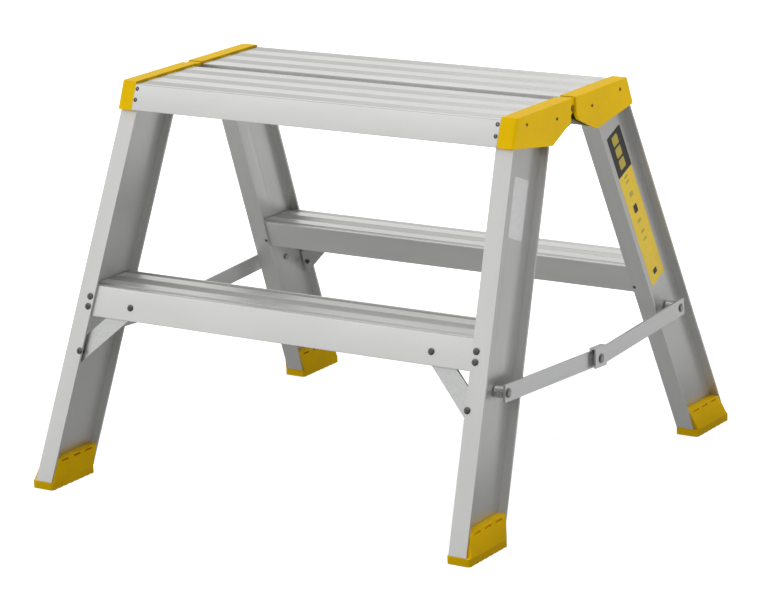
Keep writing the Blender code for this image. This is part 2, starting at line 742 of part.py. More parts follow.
def add_stay(end, side_x, frames):
    """One folding stay: two bars, their spacers and rivets."""
    pivot_y = stile_y(STAY_Z)
    tilt = stay_angle()
    mirror = mirror_matrix(side_x, 1)
    front_axis = add_axis(f"{end}_front_pivot", (0, -pivot_y, STAY_Z), frames["front"])
    middle_axis = add_axis(f"{end}_middle_pivot", (0, 0, STAY_Z - STAY_SAG), frames["front"])
    front_place = Matrix.Translation((0, -pivot_y, STAY_Z)) @ Matrix.Rotation(-tilt, 4, "X")
    rear_place = Matrix.Translation((0, pivot_y, STAY_Z)) @ Matrix.Rotation(math.pi + tilt, 4, "X")
    flipped = Matrix.Diagonal((1, 1, -1, 1))    # the rear bar's top edge stays on top
    front_bar = moved(front_bar_mesh(), mirror @ front_place)
    rear_bar = moved(rear_bar_mesh(), mirror @ rear_place @ flipped)
    add_part(f"{end}_front_stay_bar", front_bar, aluminium, front_axis)
    add_part(f"{end}_rear_stay_bar", rear_bar, aluminium, middle_axis)

    web_face = stile_x(STAY_Z) - WEB / 2
    front_out = INNER_BAR_X + BAR_THICK
    front_spacer = moved(spacer_mesh(INNER_BAR_X - GAP), mirror_matrix(side_x, -1))
    rear_spacer = moved(spacer_mesh(OUTER_BAR_X - 2 * GAP), mirror)
    add_part(f"{end}_front_spacer", front_spacer, steel, frames["front"])
    add_part(f"{end}_rear_spacer", rear_spacer, steel, frames["back"])

    front_rivet = pivot_rivet(front_out, -pivot_y, STAY_Z, front_out - web_face + 2 * GAP, PIVOT_HEAD)
    add_part(f"{end}_front_stay_rivet", moved(front_rivet, mirror), steel, frames["front"])
    rear_end = OUTER_BAR_X - 2 * GAP
    rear_rivet = cut(
        pivot_rivet(OUTER_BAR_X, pivot_y, STAY_Z, OUTER_BAR_X - web_face + 2 * GAP, PIVOT_HEAD),
        box_mesh((rear_end, 0, 0), (rear_end + BEYOND, 2 * pivot_y, 2 * STAY_Z)),
    )
    add_part(f"{end}_rear_stay_rivet", moved(rear_rivet, mirror), steel, frames["back"])
    rear_out = OUTER_BAR_X + BAR_THICK
    stub = cut(
        pivot_rivet(rear_out, pivot_y, STAY_Z, BAR_THICK, PIVOT_HEAD),
        box_mesh((0, 0, 0), (OUTER_BAR_X, 2 * pivot_y, 2 * STAY_Z)),
    )
    add_part(f"{end}_rear_bar_stud", moved(stub, mirror), steel, middle_axis)
    middle_face = SADDLE_X + SADDLE_THICK
    middle = pivot_rivet(middle_face, 0, STAY_Z - STAY_SAG, middle_face - INNER_BAR_X, PIVOT_HEAD)
    add_part(f"{end}_middle_stay_rivet", moved(middle, mirror), steel, front_axis)


def build():
    front = add_axis("front_frame", (0, 0, 0))
    back = add_axis("back_frame_hinge", (0, 0, HINGE_Z))
    frames = {"front": front, "back": back}
    add_corners(frames)
    add_spans(frames)
    for end, side_x in ENDS.items():
        add_part(f"{end}_hinge_pin", moved(hinge_pin_mesh(), mirror_matrix(side_x, 1)), steel, front)
        add_stay(end, side_x, frames)


clear_scene()
parts = new_collection("folding_step_trestle")
cutters = new_collection("cutters")
aluminium = mill_aluminium()
plastic = yellow_plastic()
steel = zinc_steel()
build()
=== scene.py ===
"""Looks of the folding step trestle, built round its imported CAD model.

The extruded planks, steps and stiles get rounded sections with fine ribs, the mouldings get soft
edges, slots and treads, and every rivet is turned. Everything rides on the CAD bodies, in metres.
"""

import json
import math

import bmesh
import bpy
from mathutils import Matrix, Vector


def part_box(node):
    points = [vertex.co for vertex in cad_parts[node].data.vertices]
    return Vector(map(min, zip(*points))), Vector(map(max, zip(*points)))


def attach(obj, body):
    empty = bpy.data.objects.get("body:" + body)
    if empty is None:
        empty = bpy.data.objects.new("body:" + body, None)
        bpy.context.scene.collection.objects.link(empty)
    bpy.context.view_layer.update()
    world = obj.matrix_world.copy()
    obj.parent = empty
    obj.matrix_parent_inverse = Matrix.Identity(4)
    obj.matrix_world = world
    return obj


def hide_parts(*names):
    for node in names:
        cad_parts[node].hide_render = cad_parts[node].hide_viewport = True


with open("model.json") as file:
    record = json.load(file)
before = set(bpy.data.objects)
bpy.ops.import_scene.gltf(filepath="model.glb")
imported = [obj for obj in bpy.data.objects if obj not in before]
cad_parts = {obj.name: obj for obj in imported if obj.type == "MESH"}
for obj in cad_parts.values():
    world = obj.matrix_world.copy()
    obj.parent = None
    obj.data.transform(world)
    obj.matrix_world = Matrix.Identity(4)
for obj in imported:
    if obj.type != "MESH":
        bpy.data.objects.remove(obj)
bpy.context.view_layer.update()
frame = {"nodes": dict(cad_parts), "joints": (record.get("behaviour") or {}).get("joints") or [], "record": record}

MM = 0.001
END = {"left": -1, "right": 1}
SIDE = {"front": -1, "back": 1}
CORNERS = {f"{side}_{end}": (END[end], SIDE[side]) for side in SIDE for end in END}
BODY_OF = {node: body for body, nodes in frame["record"]["behaviour"]["bodies"].items() for node in nodes}

# The stiles' centre lines, as the CAD has them
LEAN = 0.405                        # a stile moves this far in Y for each unit of height
SPLAY = 0.0672                      # and this far in X
FOOT_X = 314.4 * MM
FOOT_Y = 285.5 * MM
WEB = 2.5 * MM
STILE_DEPTH = 87.4 * MM             # across both flanges, on a level cut

# Extruded sections
CORNER = 1.2 * MM                   # outer corners of planks and steps
INNER_CORNER = 0.8 * MM
ARC_STEPS = 4
RECESS_DEPTH = 0.8 * MM
RECESS_SIDE = 1 * MM                # how far a recess's side slopes inwards
PLANK_RECESSES = ((20, 40), (60, 80), (100, 120))   # millimetres from the inner edge
STEP_RECESSES = ((4, 13), (30, 50), (67, 76))
RIB_PITCH = 2.2 * MM                # fine anti-slip ribs along the recesses
RIB_DEPTH = 0.6 * MM
RECESS_NEAR = 0.1 * MM              # a recess's faces lie further below the top than this
RECESS_FAR = RECESS_DEPTH * 1.1     # and less than this
MOST_SIDEWAYS = 0.95                # and no more of their normal is along Y
MOST_ENDWAYS = 0.5                  # or along X
SKIN = 2.6 * MM
WALL = 2.7 * MM
WALL_TIP = 1.2 * MM                 # radius at the lower edges of the walls
PLANK_INNER_DROP = 19 * MM

# Edges of the other pieces
STILE_EDGE = 0.7 * MM
CAP_EDGE = 1.6 * MM
FOOT_EDGE = 1.2 * MM
PLATE_EDGE = 0.5 * MM
PIN_EDGE = 0.2 * MM

# Mesh work
WELD = 0.02 * MM                    # points this close are one
SAME_PLANE = math.radians(0.5)      # faces this level with each other are one
ROUND_FROM = math.radians(25)       # edges sharper than this are rounded
SHARP_SECTION = math.radians(32)    # edges that shade sharp on a section
SHARP_TURNED = math.radians(38)     # and on a turned piece
MOST_OF_SIDE = 0.45                 # the share of a side that one round corner may take
CUTTER_REACH = 1                    # metres, wider than any piece

# Feet
SLOT_OFFSETS = (-24 * MM, 0, 24 * MM)
SLOT_HEIGHT = 34 * MM
SLOT_HALF = (3 * MM, 7 * MM, 1.3 * MM)
CHEEK_OUT = 13 * MM                 # from the web's face to the middle of a slot
TREAD_GROOVES = 7
TREAD_START = 12 * MM
TREAD_PITCH = 11 * MM
TREAD_HALF = 1.2 * MM
TREAD_DEPTH = 1 * MM

BRACE_RUN = 65.5                    # a brace's run and drop, which give its grain
BRACE_DROP = 59

# Tongue that fills the notch beside a short cap, from the hinge line
TONGUE_BACK = 8.7 * MM
TONGUE_REACH = 3.6 * MM
TONGUE_RISE = 12.8 * MM
TONGUE_THICK = 1.7 * MM
TONGUE_HOLE = 4.3 * MM
TONGUE_SINK = 0.3 * MM              # how far its face lies behind the pin's end
TONGUE_EDGE = 0.3 * MM
HOLE_HALF = 10 * MM
SHELF_START_X = 276 * MM
SHELF_THICK = 4 * MM
SHELF_EDGE = 0.4 * MM

# Stay spacers
SPACER_CHAMFER = 0.8 * MM
SPACER_ROOM = 0.3 * MM              # between its bore and the rivet

# Rivets and pins
RIVET_HEAD = 4.4 * MM
RIVET_SHANK = 2.4 * MM
PIVOT_HEAD = 6 * MM
PIVOT_SHANK = 3 * MM
HEAD_HEIGHT = 1.5 * MM
TAIL_LIP = 1 * MM
TAIL_HEIGHT = 1.5 * MM
TAIL_BEVEL = 0.5 * MM
DOME_STEPS = 6
DOME_CURVE = 2.6                    # power that bends the dome down to its rim
DOME_RIM = 0.35 * MM
DOME_FLAT = 0.25                    # a solid head's flat middle, as a share of its radius
MANDREL = 1.2 * MM                  # radius of the hole in a blind rivet's head
MANDREL_DEPTH = 0.8 * MM
MANDREL_LIP = 0.1 * MM
MANDREL_FOOT = 0.9                  # the hole's foot and its rounded mouth, as shares of its radius
MANDREL_MOUTH = 1.3
TURN_SIDES = 32

# Small rivets: (head radius, shank radius)
SMALL_RIVET = (2.6 * MM, 1.5 * MM)
PLANK_RIVET = (3.4 * MM, 1.8 * MM)
RIVET_PROUD = 0.8 * MM
CAP_RIVETS = ((42.5, 481.5), (112.7, 488.5))        # Y and Z in millimetres
CAP_RIVET_LENGTH = 8 * MM
PLANK_RIVET_X = 271.6 * MM
PLANK_RIVET_HEIGHTS = (491.5 * MM, 478 * MM)
PLANK_RIVET_LENGTH = 6 * MM
PLANK_FACE_Y = 133.2 * MM           # the plank's sloping wall, at PLATFORM_HEIGHT
PLATFORM_HEIGHT = 0.5
INNER_RIVET_X = 290 * MM
INNER_RIVET_HEIGHT = 221 * MM
INNER_RIVET_LENGTH = 9 * MM

# Labels: (low and high end up the stile), (edges across its web)
DARK_PANEL = ((377 * MM, 433 * MM), (-16 * MM, 20 * MM))
YELLOW_PANEL = ((223 * MM, 377 * MM), (-17 * MM, 19 * MM))
SILVER_LABEL = ((352 * MM, 421 * MM), (-20 * MM, 12 * MM))
BLOCK_EDGES = (-6 * MM, 8 * MM)
MARK_EDGES = (-5 * MM, 4 * MM)
LABEL_CORNER = 2 * MM
LABEL_FILM = 0.15 * MM
MARK_LIFT = 0.1 * MM
LABEL_BLOCKS = ((383, 396), (399, 412), (415, 428))  # low and high end in millimetres
LABEL_MARKS = (                     # low and high end in millimetres, and whether it is dark
    (232, 239, True), (281, 284, False), (291, 295, False), (306, 311, False),
    (320, 331, True), (343, 349, False), (362, 365, False), (369, 372, False),
)

# Finishes: a lightest shade, or a darkest and a lightest one
SPAN_SHADE = (0.76, 0.76, 0.745)
# Painted shade: the recess floors and ribs are the same aluminium, given this darker colour for the shade in them
RECESS_PAINTED_SHADE = (0.47, 0.47, 0.455)
STILE_SHADE = (0.72, 0.72, 0.705)
FLAT_SHADES = ((0.60, 0.61, 0.60), (0.70, 0.71, 0.70))
CAP_YELLOWS = ((0.67, 0.42, 0.0), (0.73, 0.46, 0.0))
# Painted light: the feet are the caps' plastic, made a lighter yellow to make up for the darker light down by the
# floor
FOOT_YELLOWS_PAINTED_LIGHT = ((0.82, 0.50, 0.0), (0.88, 0.54, 0.0))
# Painted shade: the rivet heads are bright steel; this dark grey over the whole head stands in for the shade in
# their mandrel holes
RIVET_PAINTED_SHADES = ((0.10, 0.10, 0.098), (0.20, 0.20, 0.195))
PIVOT_SHADES = ((0.42, 0.43, 0.42), (0.56, 0.57, 0.56))
# A yellow-brown steel colour for the cap rivets and hinge pins
YELLOW_BROWN_STEEL_SHADES = ((0.42, 0.30, 0.07), (0.55, 0.42, 0.14))
BRACKET_SHADES = ((0.30, 0.31, 0.32), (0.42, 0.43, 0.44))
SPACER_SHADES = ((0.62, 0.63, 0.63), (0.75, 0.76, 0.76))
DARK_FILM = (0.02, 0.02, 0.018)
YELLOW_FILM = (0.80, 0.56, 0.02)
OLIVE_FILM = (0.46, 0.36, 0.03)
SILVER_FILM = (0.80, 0.81, 0.80)
SILVER_METALLIC = 0.5

GRAIN = "grain"                     # each piece's positions, turned so that X runs along its grain
DIE_LINES = (3, 900, 900)           # noise scales along and across the grain
CLOUDS = (6, 18, 18)
BAR_LINES = (5, 700, 700)
EVEN = (1, 1, 1)
NOISE_LOW = 0.3                     # the usual range of a noise
NOISE_HIGH = 0.7
FINE_BUMP = 0.02 * MM
WHITE = (1, 1, 1, 1)

# Camera, fitted to the view
CAMERA_PLACE = (2.3316, -3.4369, 1.3355)
CAMERA_YAW = 0.5939
CAMERA_PITCH = 0.2652
CAMERA_ROLL = -0.0406
CAMERA_LENS = 154.16
CAMERA_FAR = 100

# Studio: brightness in a direction is SKY_MIDDLE + its share of SKY_SLOPE, and a paler wall
SKY_MIDDLE = 0.42
SKY_SLOPE = (-0.42, 0.02, 0.46)
SKY_LEAST = 0.10
WALL_TOWARDS = (0.51, 0.80, -0.32)
WALL_BRIGHT = 0.85
WALL_SPREAD = 36                    # power of the cosine to its middle
FLOOR_SIZE = 40
FLOOR_SHADE = (0.93, 0.93, 0.93, 1)
FLOOR_ROUGHNESS = 0.9
FLOOR_GLOW = 0.7
PATCH = ((-0.6, 0.5), (-0.5, 0.7))  # X and Y ends of the shade round the trestle, metres
PATCH_RISE = 0.1 * MM
PATCH_GLOW = 0.28
LIGHTS = {"key": ((-3.5, -2.5, 4.5), 10), "top": ((0, 0.3, 4.5), 75)}  # place and watts
LIGHT_AIM = (0, 0, 0.3)
LIGHT_SIZE = 3.0


# ---------------------------------------------------------------- materials

class Nodes:
    """A small helper to lay out a material's nodes."""

    def __init__(self, name):
        self.material = bpy.data.materials.new(name)
        self.material.use_nodes = True
        self.tree = self.material.node_tree
        self.shader = self.tree.nodes["Principled BSDF"]

    def add(self, kind, **values):
        node = self.tree.nodes.new(kind)
        for key, value in values.items():
            setattr(node, key, value)
        return node

    def link(self, source, target):
        self.tree.links.new(source, target)

    def coordinates(self, scale):
        """Positions on the piece itself, scaled along and across its grain."""
        place = self.add("ShaderNodeAttribute", attribute_name=GRAIN)
        mapping = self.add("ShaderNodeMapping")
        mapping.inputs["Scale"].default_value = scale
        self.link(place.outputs["Vector"], mapping.inputs["Vector"])
        return mapping.outputs["Vector"]

    def noise(self, vector, scale, detail=3, roughness=0.55):
        noise = self.add("ShaderNodeTexNoise")
        noise.inputs["Scale"].default_value = scale
        noise.inputs["Detail"].default_value = detail
        noise.inputs["Roughness"].default_value = roughness
        self.link(vector, noise.inputs["Vector"])
        return noise.outputs["Fac"]

    def spread(self, factor, low, high):
        """The factor's usual range spread from low to high."""
        spread = self.add("ShaderNodeMapRange")
        spread.inputs["From Min"].default_value = NOISE_LOW
        spread.inputs["From Max"].default_value = NOISE_HIGH
        spread.inputs["To Min"].default_value = low
        spread.inputs["To Max"].default_value = high
        self.link(factor, spread.inputs["Value"])
        return spread.outputs["Result"]

    def colours(self, factor, first, second):
        ramp = self.add("ShaderNodeValToRGB")
        ramp.color_ramp.elements[0].position = NOISE_LOW
        ramp.color_ramp.elements[1].position = NOISE_HIGH
        ramp.color_ramp.elements[0].color = (*first, 1)
        ramp.color_ramp.elements[1].color = (*second, 1)
        self.link(factor, ramp.inputs["Fac"])
        self.link(ramp.outputs["Color"], self.shader.inputs["Base Color"])

    def roughness(self, factor, low, high):
        self.link(self.spread(factor, low, high), self.shader.inputs["Roughness"])

    def bump(self, height, distance, strength=1):
        bump = self.add("ShaderNodeBump")
        bump.inputs["Distance"].default_value = distance
        bump.inputs["Strength"].default_value = strength
        self.link(height, bump.inputs["Height"])
        self.link(bump.outputs["Normal"], self.shader.inputs["Normal"])


def extruded_aluminium(name, shade):
    """Mill finish: fine die lines along the piece and a faint cloudiness. The recesses' darker base colour passed
    in is painted shade.
    """
    nodes = Nodes(name)
    lines = nodes.noise(nodes.coordinates(DIE_LINES), 1, 4)
    clouds = nodes.noise(nodes.coordinates(CLOUDS), 1, 2)
    nodes.colours(clouds, [0.94 * c for c in shade], shade)
    nodes.roughness(lines, 0.32, 0.46)
    nodes.bump(lines, FINE_BUMP, 0.6)
    nodes.shader.inputs["Metallic"].default_value = 0.82
    return nodes.material


def flat_aluminium():
    """Drawn flat bar, a little smoother than the extrusions."""
    nodes = Nodes("flat_aluminium")
    lines = nodes.noise(nodes.coordinates(BAR_LINES), 1, 3)
    nodes.colours(lines, *FLAT_SHADES)
    nodes.roughness(lines, 0.28, 0.4)
    nodes.bump(lines, FINE_BUMP, 0.5)
    nodes.shader.inputs["Metallic"].default_value = 0.85
    return nodes.material


def moulded_plastic(name, dark, light):
    """Satin yellow plastic with a fine moulded grain. The feet's lighter colours passed in are painted light."""
    nodes = Nodes(name)
    grain = nodes.noise(nodes.coordinates(EVEN), 900, 2)
    tone = nodes.noise(nodes.coordinates(EVEN), 25, 2)
    nodes.colours(tone, dark, light)
    nodes.roughness(tone, 0.40, 0.52)
    nodes.bump(grain, 0.03 * MM, 0.5)
    nodes.shader.inputs["Specular IOR Level"].default_value = 0.05
    return nodes.material


def plated_steel(name, dark, light, rough):
    """Zinc plate, mottled between the given colours; the rivets' dark colours passed in are painted shade."""
    nodes = Nodes(name)
    mottle = nodes.noise(nodes.coordinates(EVEN), 260, 4, 0.65)
    nodes.colours(mottle, dark, light)
    nodes.roughness(mottle, rough, rough + 0.15)
    nodes.bump(mottle, FINE_BUMP, 0.4)
    nodes.shader.inputs["Metallic"].default_value = 1
    return nodes.material


def label_film(name, colour, metallic=0):
    """Printed film, slightly uneven on the metal under it."""
    nodes = Nodes(name)
    wrinkle = nodes.noise(nodes.coordinates(EVEN), 120, 3)
    nodes.colours(wrinkle, [0.9 * c for c in colour], colour)
    nodes.roughness(wrinkle, 0.28, 0.42)
    nodes.bump(wrinkle, 0.05 * MM, 0.5)
    nodes.shader.inputs["Metallic"].default_value = metallic
    return nodes.material


# ---------------------------------------------------------------- mesh tools

def evaluated(source):
    """The object's mesh with its modifiers applied; the object is removed."""
    depsgraph = bpy.context.evaluated_depsgraph_get()
    depsgraph.update()
    mesh = bpy.data.meshes.new_from_object(source.evaluated_get(depsgraph))
    bpy.data.objects.remove(source, do_unlink=True)
    return mesh


def holder(mesh):
    """An object that carries modifiers until they are applied."""
    made = bpy.data.objects.new("work", mesh)
    bpy.context.scene.collection.objects.link(made)
    return made


def finished_bmesh(bm, name):
    bmesh.ops.recalc_face_normals(bm, faces=bm.faces)
    mesh = bpy.data.meshes.new(name)
    bm.to_mesh(mesh)
    bm.free()
    return mesh


def box_mesh(low, high):
    bm = bmesh.new()
    bmesh.ops.create_cube(bm, size=1)
    bmesh.ops.scale(bm, vec=[b - a for a, b in zip(low, high)], verts=bm.verts)
    bmesh.ops.translate(bm, vec=[(a + b) / 2 for a, b in zip(low, high)], verts=bm.verts)
    return finished_bmesh(bm, "box")


def cad_copy(node):
    """The CAD node's solid with its flat faces whole again, ready for round edges."""
    bm = bmesh.new()
    bm.from_mesh(frame["nodes"][node].data)
    bmesh.ops.remove_doubles(bm, verts=bm.verts, dist=WELD)
    bmesh.ops.dissolve_limit(bm, angle_limit=SAME_PLANE, verts=bm.verts, edges=bm.edges)
    return finished_bmesh(bm, node)


def cut_away(mesh, cutters):
    body = holder(mesh)
    tools = [holder(cutter) for cutter in cutters]
    for tool in tools:
        boolean = body.modifiers.new("cut", "BOOLEAN")
        boolean.object = tool
        boolean.operation = "DIFFERENCE"
    result = evaluated(body)
    for tool in tools:
        bpy.data.objects.remove(tool, do_unlink=True)
    return result


def rounded_edges(mesh, width, segments=2):
    work = holder(mesh)
    bevel = work.modifiers.new("edges", "BEVEL")
    bevel.width = width
    bevel.segments = segments
    bevel.limit_method = "ANGLE"
    bevel.angle_limit = ROUND_FROM
    bevel.harden_normals = False
    mesh.shade_smooth()
    normals = work.modifiers.new("normals", "WEIGHTED_NORMAL")
    normals.keep_sharp = True
    return evaluated(work)


def arc_corner(before, corner, after, radius):
    """Points that round the corner between two straight sides."""
    to_before = (before - corner).normalized()
    to_after = (after - corner).normalized()
    angle = to_before.angle(to_after)
    shorter_side = min((before - corner).length, (after - corner).length)
    reach = min(radius / math.tan(angle / 2), MOST_OF_SIDE * shorter_side)
    start, end = corner + to_before * reach, corner + to_after * reach
    points = []
    for step in range(ARC_STEPS + 1):
        share = step / ARC_STEPS
        first, second = start.lerp(corner, share), corner.lerp(end, share)
        points.append(first.lerp(second, share))
    return points


def rounded_outline(corners):
    """An outline of (point, radius) corners with its corners rounded; radius 0 stays sharp."""
    points = []
    for number, (corner, radius) in enumerate(corners):
        before, after = corners[number - 1][0], corners[(number + 1) % len(corners)][0]
        points += arc_corner(before, corner, after, radius) if radius else [corner]
    return points


def prism(outline, start, end, name):
    """An outline in Y and Z made solid from X = start to X = end."""
    bm = bmesh.new()
    rings = [[bm.verts.new((x, p.x, p.y)) for p in outline] for x in (start, end)]
    for number in range(len(outline)):
        after = (number + 1) % len(outline)
        bm.faces.new((rings[0][number], rings[0][after], rings[1][after], rings[1][number]))
    for ring in rings:
        bm.faces.new(ring)
    mesh = finished_bmesh(bm, name)
    mesh.shade_smooth()
    mesh.set_sharp_from_angle(angle=SHARP_SECTION)
    return mesh


def turned(profile, name):
    """A closed profile of (radius, height) points turned round Z; it starts and ends on the axis."""
    bm = bmesh.new()
    rings = []
    for radius, height in profile:
        if radius == 0:
            rings.append([bm.verts.new((0, 0, height))])
            continue
        turns = [2 * math.pi * step / TURN_SIDES for step in range(TURN_SIDES)]
        rings.append([bm.verts.new((radius * math.cos(t), radius * math.sin(t), height)) for t in turns])
    for upper, lower in zip(rings, rings[1:]):
        for step in range(TURN_SIDES):
            after = (step + 1) % TURN_SIDES
            quad = [upper[step % len(upper)], upper[after % len(upper)]]
            quad += [lower[after % len(lower)], lower[step % len(lower)]]
            bm.faces.new(dict.fromkeys(quad))
    mesh = finished_bmesh(bm, name)
    mesh.shade_smooth()
    mesh.set_sharp_from_angle(angle=SHARP_TURNED)
    return mesh


def add_piece(name, mesh, finish, body, replaced=(), grain=(1, 0, 0)):
    """A piece whose mesh is in the row frame; grain is the direction its finish runs in."""
    made = bpy.data.objects.new(name, mesh)
    bpy.context.scene.collection.objects.link(made)
    mesh.materials.clear()
    mesh.materials.append(finish)
    along_grain = Vector(grain).to_track_quat("X", "Z").to_matrix().inverted()
    positions = mesh.attributes.new(GRAIN, "FLOAT_VECTOR", "POINT")
    for vertex, position in zip(mesh.vertices, positions.data):
        position.vector = along_grain @ vertex.co
    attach(made, body)
    if replaced:
        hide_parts(*replaced)
    return made


def soft_node(node, width, finish, grain=(1, 0, 0), segments=2, cutters=()):
    """A finer copy of a CAD node with rounded edges, in the node's place."""
    mesh = cad_copy(node)
    if cutters:
        mesh = cut_away(mesh, cutters)
    mesh = rounded_edges(mesh, width, segments)
    return add_piece(f"fine_{node}", mesh, finish, BODY_OF[node], (node,), grain)


# ---------------------------------------------------------------- planks and steps

def recess_line(near, far, top):
    """One recess from its far edge to its near one, its floor in fine ribs."""
    floor = top - RECESS_DEPTH
    start, end = far - RECESS_SIDE, near + RECESS_SIDE
    points = [(far, top), (start, floor)]
    count = round((start - end) / RIB_PITCH)
    for rib in range(count):
        at = start + (end - start) * (rib + 0.5) / count
        points.append((at, floor + RIB_DEPTH))
        points.append((at - RIB_PITCH / 2, floor))
    return points + [(near, top)]


def channel_outline(inner, outer, top, drops, slopes, recesses):
    """The recessed top with a wall down each side, in Y and Z; drops and slopes are (inner, outer)."""
    corners = [
        (outer + slopes[1] * drops[1] - WALL, top - drops[1], WALL_TIP),
        (outer + slopes[1] * drops[1], top - drops[1], WALL_TIP),
        (outer, top, CORNER),
    ]
    for near, far in reversed(recesses):
        corners += [(y, z, 0) for y, z in recess_line(inner + near * MM, inner + far * MM, top)]
    corners += [
        (inner, top, CORNER),
        (inner + slopes[0] * drops[0], top - drops[0], WALL_TIP),
        (inner + slopes[0] * drops[0] + WALL, top - drops[0], WALL_TIP),
        (inner + slopes[0] * SKIN + WALL, top - SKIN, INNER_CORNER),
        (outer + slopes[1] * SKIN - WALL, top - SKIN, INNER_CORNER),
    ]
    return rounded_outline([(Vector((y, z)), radius) for y, z, radius in corners])


def shade_recess_floors(mesh, top, finish):
    """Gives the recesses' floors and ribs a darker colour: painted shade, for the shade that falls in the ribbed
    recesses.
    """
    mesh.materials.append(finish)
    for face in mesh.polygons:
        in_recess = top - RECESS_FAR < face.center.z < top - RECESS_NEAR
        if in_recess and abs(face.normal.y) < MOST_SIDEWAYS and abs(face.normal.x) < MOST_ENDWAYS:
            face.material_index = 1


def add_spans(finish, recess_painted_shade):
    for side, sign in SIDE.items():
        for kind in ("plank", "step"):
            node = f"{side}_{kind}"
            low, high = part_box(node)
            near, far = sorted((abs(low.y), abs(high.y)))
            drop = high.z - low.z
            if kind == "plank":
                slopes, drops, recesses = (0, LEAN), (PLANK_INNER_DROP, drop), PLANK_RECESSES
            else:
                slopes, drops, recesses = (LEAN, LEAN), (drop, drop), STEP_RECESSES
            outline = channel_outline(near, far - LEAN * drop, high.z, drops, slopes, recesses)
            outline = [Vector((p.x * sign, p.y)) for p in outline]
            mesh = prism(outline, low.x, high.x, node)
            add_piece(f"fine_{node}", mesh, finish, BODY_OF[node], (node,))
            shade_recess_floors(mesh, high.z, recess_painted_shade)


# ---------------------------------------------------------------- corner pieces

def stile_direction(side_x, side_y):
    return Vector((-SPLAY * side_x, -LEAN * side_y, 1)).normalized()


def stile_point(side_x, side_y, z, offset=0, out=0):
    """A point on the stile's web at height z: offset across the web, out of its outer face."""
    x = FOOT_X - SPLAY * z + WEB / 2 + out
    y = FOOT_Y - LEAN * z + offset
    return Vector((side_x * x, side_y * y, z))


def foot_cutters(side_x, side_y):
    """Three slots below the top edge of each cheek, and grooves across the tread."""
    cutters = []
    half = Vector(SLOT_HALF)
    for offset in SLOT_OFFSETS:
        place = stile_point(side_x, side_y, SLOT_HEIGHT, offset)
        for cheek in (-1, 1):
            middle = place + Vector((cheek * side_x * CHEEK_OUT, 0, 0))
            cutters.append(box_mesh(middle - half, middle + half))
    front_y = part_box("front_right_foot")[0].y
    for number in range(TREAD_GROOVES):
        y = -side_y * (front_y + TREAD_START + number * TREAD_PITCH)
        low = (-CUTTER_REACH, y - TREAD_HALF, -TREAD_DEPTH)
        high = (CUTTER_REACH, y + TREAD_HALF, TREAD_DEPTH)
        cutters.append(box_mesh(low, high))
    return cutters


def add_corners(aluminium, plastic, foot_plastic, bracket_steel, flat):
    for corner, (side_x, side_y) in CORNERS.items():
        lean = stile_direction(side_x, side_y)
        soft_node(f"{corner}_stile", STILE_EDGE, aluminium, lean)
        soft_node(f"{corner}_cap", CAP_EDGE, plastic, segments=3)
        soft_node(f"{corner}_foot", FOOT_EDGE, foot_plastic, cutters=foot_cutters(side_x, side_y))
        strap = Vector((side_x * BRACE_RUN, 0, -BRACE_DROP))
        soft_node(f"{corner}_brace", PLATE_EDGE, flat, strap)
        soft_node(f"{corner}_hinge_bracket", PLATE_EDGE, bracket_steel)


def tongue_outline():
    """The tongue beside the short cap, in Y and Z from the hinge line, clear of the other cap's sweep."""
    fold = math.radians(frame["joints"][0]["range_deg"][1])
    reach = TONGUE_REACH
    points = [(-TONGUE_BACK, TONGUE_RISE), (reach, TONGUE_RISE)]
    for step in range(ARC_STEPS + 1):
        turn = fold * step / ARC_STEPS
        points.append((reach * math.cos(turn), -reach * math.sin(turn)))
    low = TONGUE_BACK / 2
    points.append((-low, -(reach + low * math.cos(fold)) / math.sin(fold)))
    points.append((-TONGUE_BACK, points[-1][1] - low))
    return points


def turn_over(mesh, turn):
    """Turns or mirrors a mesh and keeps its faces outwards."""
    mesh.transform(turn)
    if turn.determinant() < 0:
        mesh.flip_normals()


def add_tongues(plastic):
    """Fills the notch at each short cap's hinge end: a recessed face round the pin, and a shelf on top."""
    pin_low, pin_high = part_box("right_hinge_pin")
    middle = (pin_low + pin_high) / 2
    top_x = pin_high.x - TONGUE_SINK
    for corner in ("front_right", "back_left"):
        side_x, side_y = CORNERS[corner]
        turn = Matrix.Diagonal((side_x, -side_y, 1, 1))
        outline = [Vector((y, middle.z + z)) for y, z in tongue_outline()]
        face = prism(outline, top_x - TONGUE_THICK, top_x, "tongue")
        profile = [(0, HOLE_HALF), (TONGUE_HOLE, HOLE_HALF), (TONGUE_HOLE, -HOLE_HALF), (0, -HOLE_HALF)]
        hole = turned(profile, "hole")
        place = Matrix.Translation((top_x, 0, middle.z)) @ Matrix.Rotation(math.pi / 2, 4, "Y")
        hole.transform(place)
        mesh = cut_away(face, [hole])
        mesh = rounded_edges(mesh, TONGUE_EDGE)
        turn_over(mesh, turn)
        add_piece(f"{corner}_hinge_tongue", mesh, plastic, BODY_OF[f"{corner}_cap"])
        top = middle.z + TONGUE_RISE
        shelf = box_mesh(
            (SHELF_START_X, -TONGUE_BACK, top - SHELF_THICK), (top_x - TONGUE_THICK, TONGUE_REACH, top)
        )
        shelf = rounded_edges(shelf, SHELF_EDGE)
        turn_over(shelf, turn)
        add_piece(f"{corner}_hinge_shelf", shelf, plastic, BODY_OF[f"{corner}_cap"])


# ---------------------------------------------------------------- stays

def add_stays(flat, spacer_steel):
    for end in END:
        soft_node(f"{end}_front_stay_bar", PLATE_EDGE, flat, (0, 1, 0))
        soft_node(f"{end}_rear_stay_bar", PLATE_EDGE, flat, (0, 1, 0))
        for side in ("front", "rear"):
            add_spacer(f"{end}_{side}_spacer", spacer_steel)


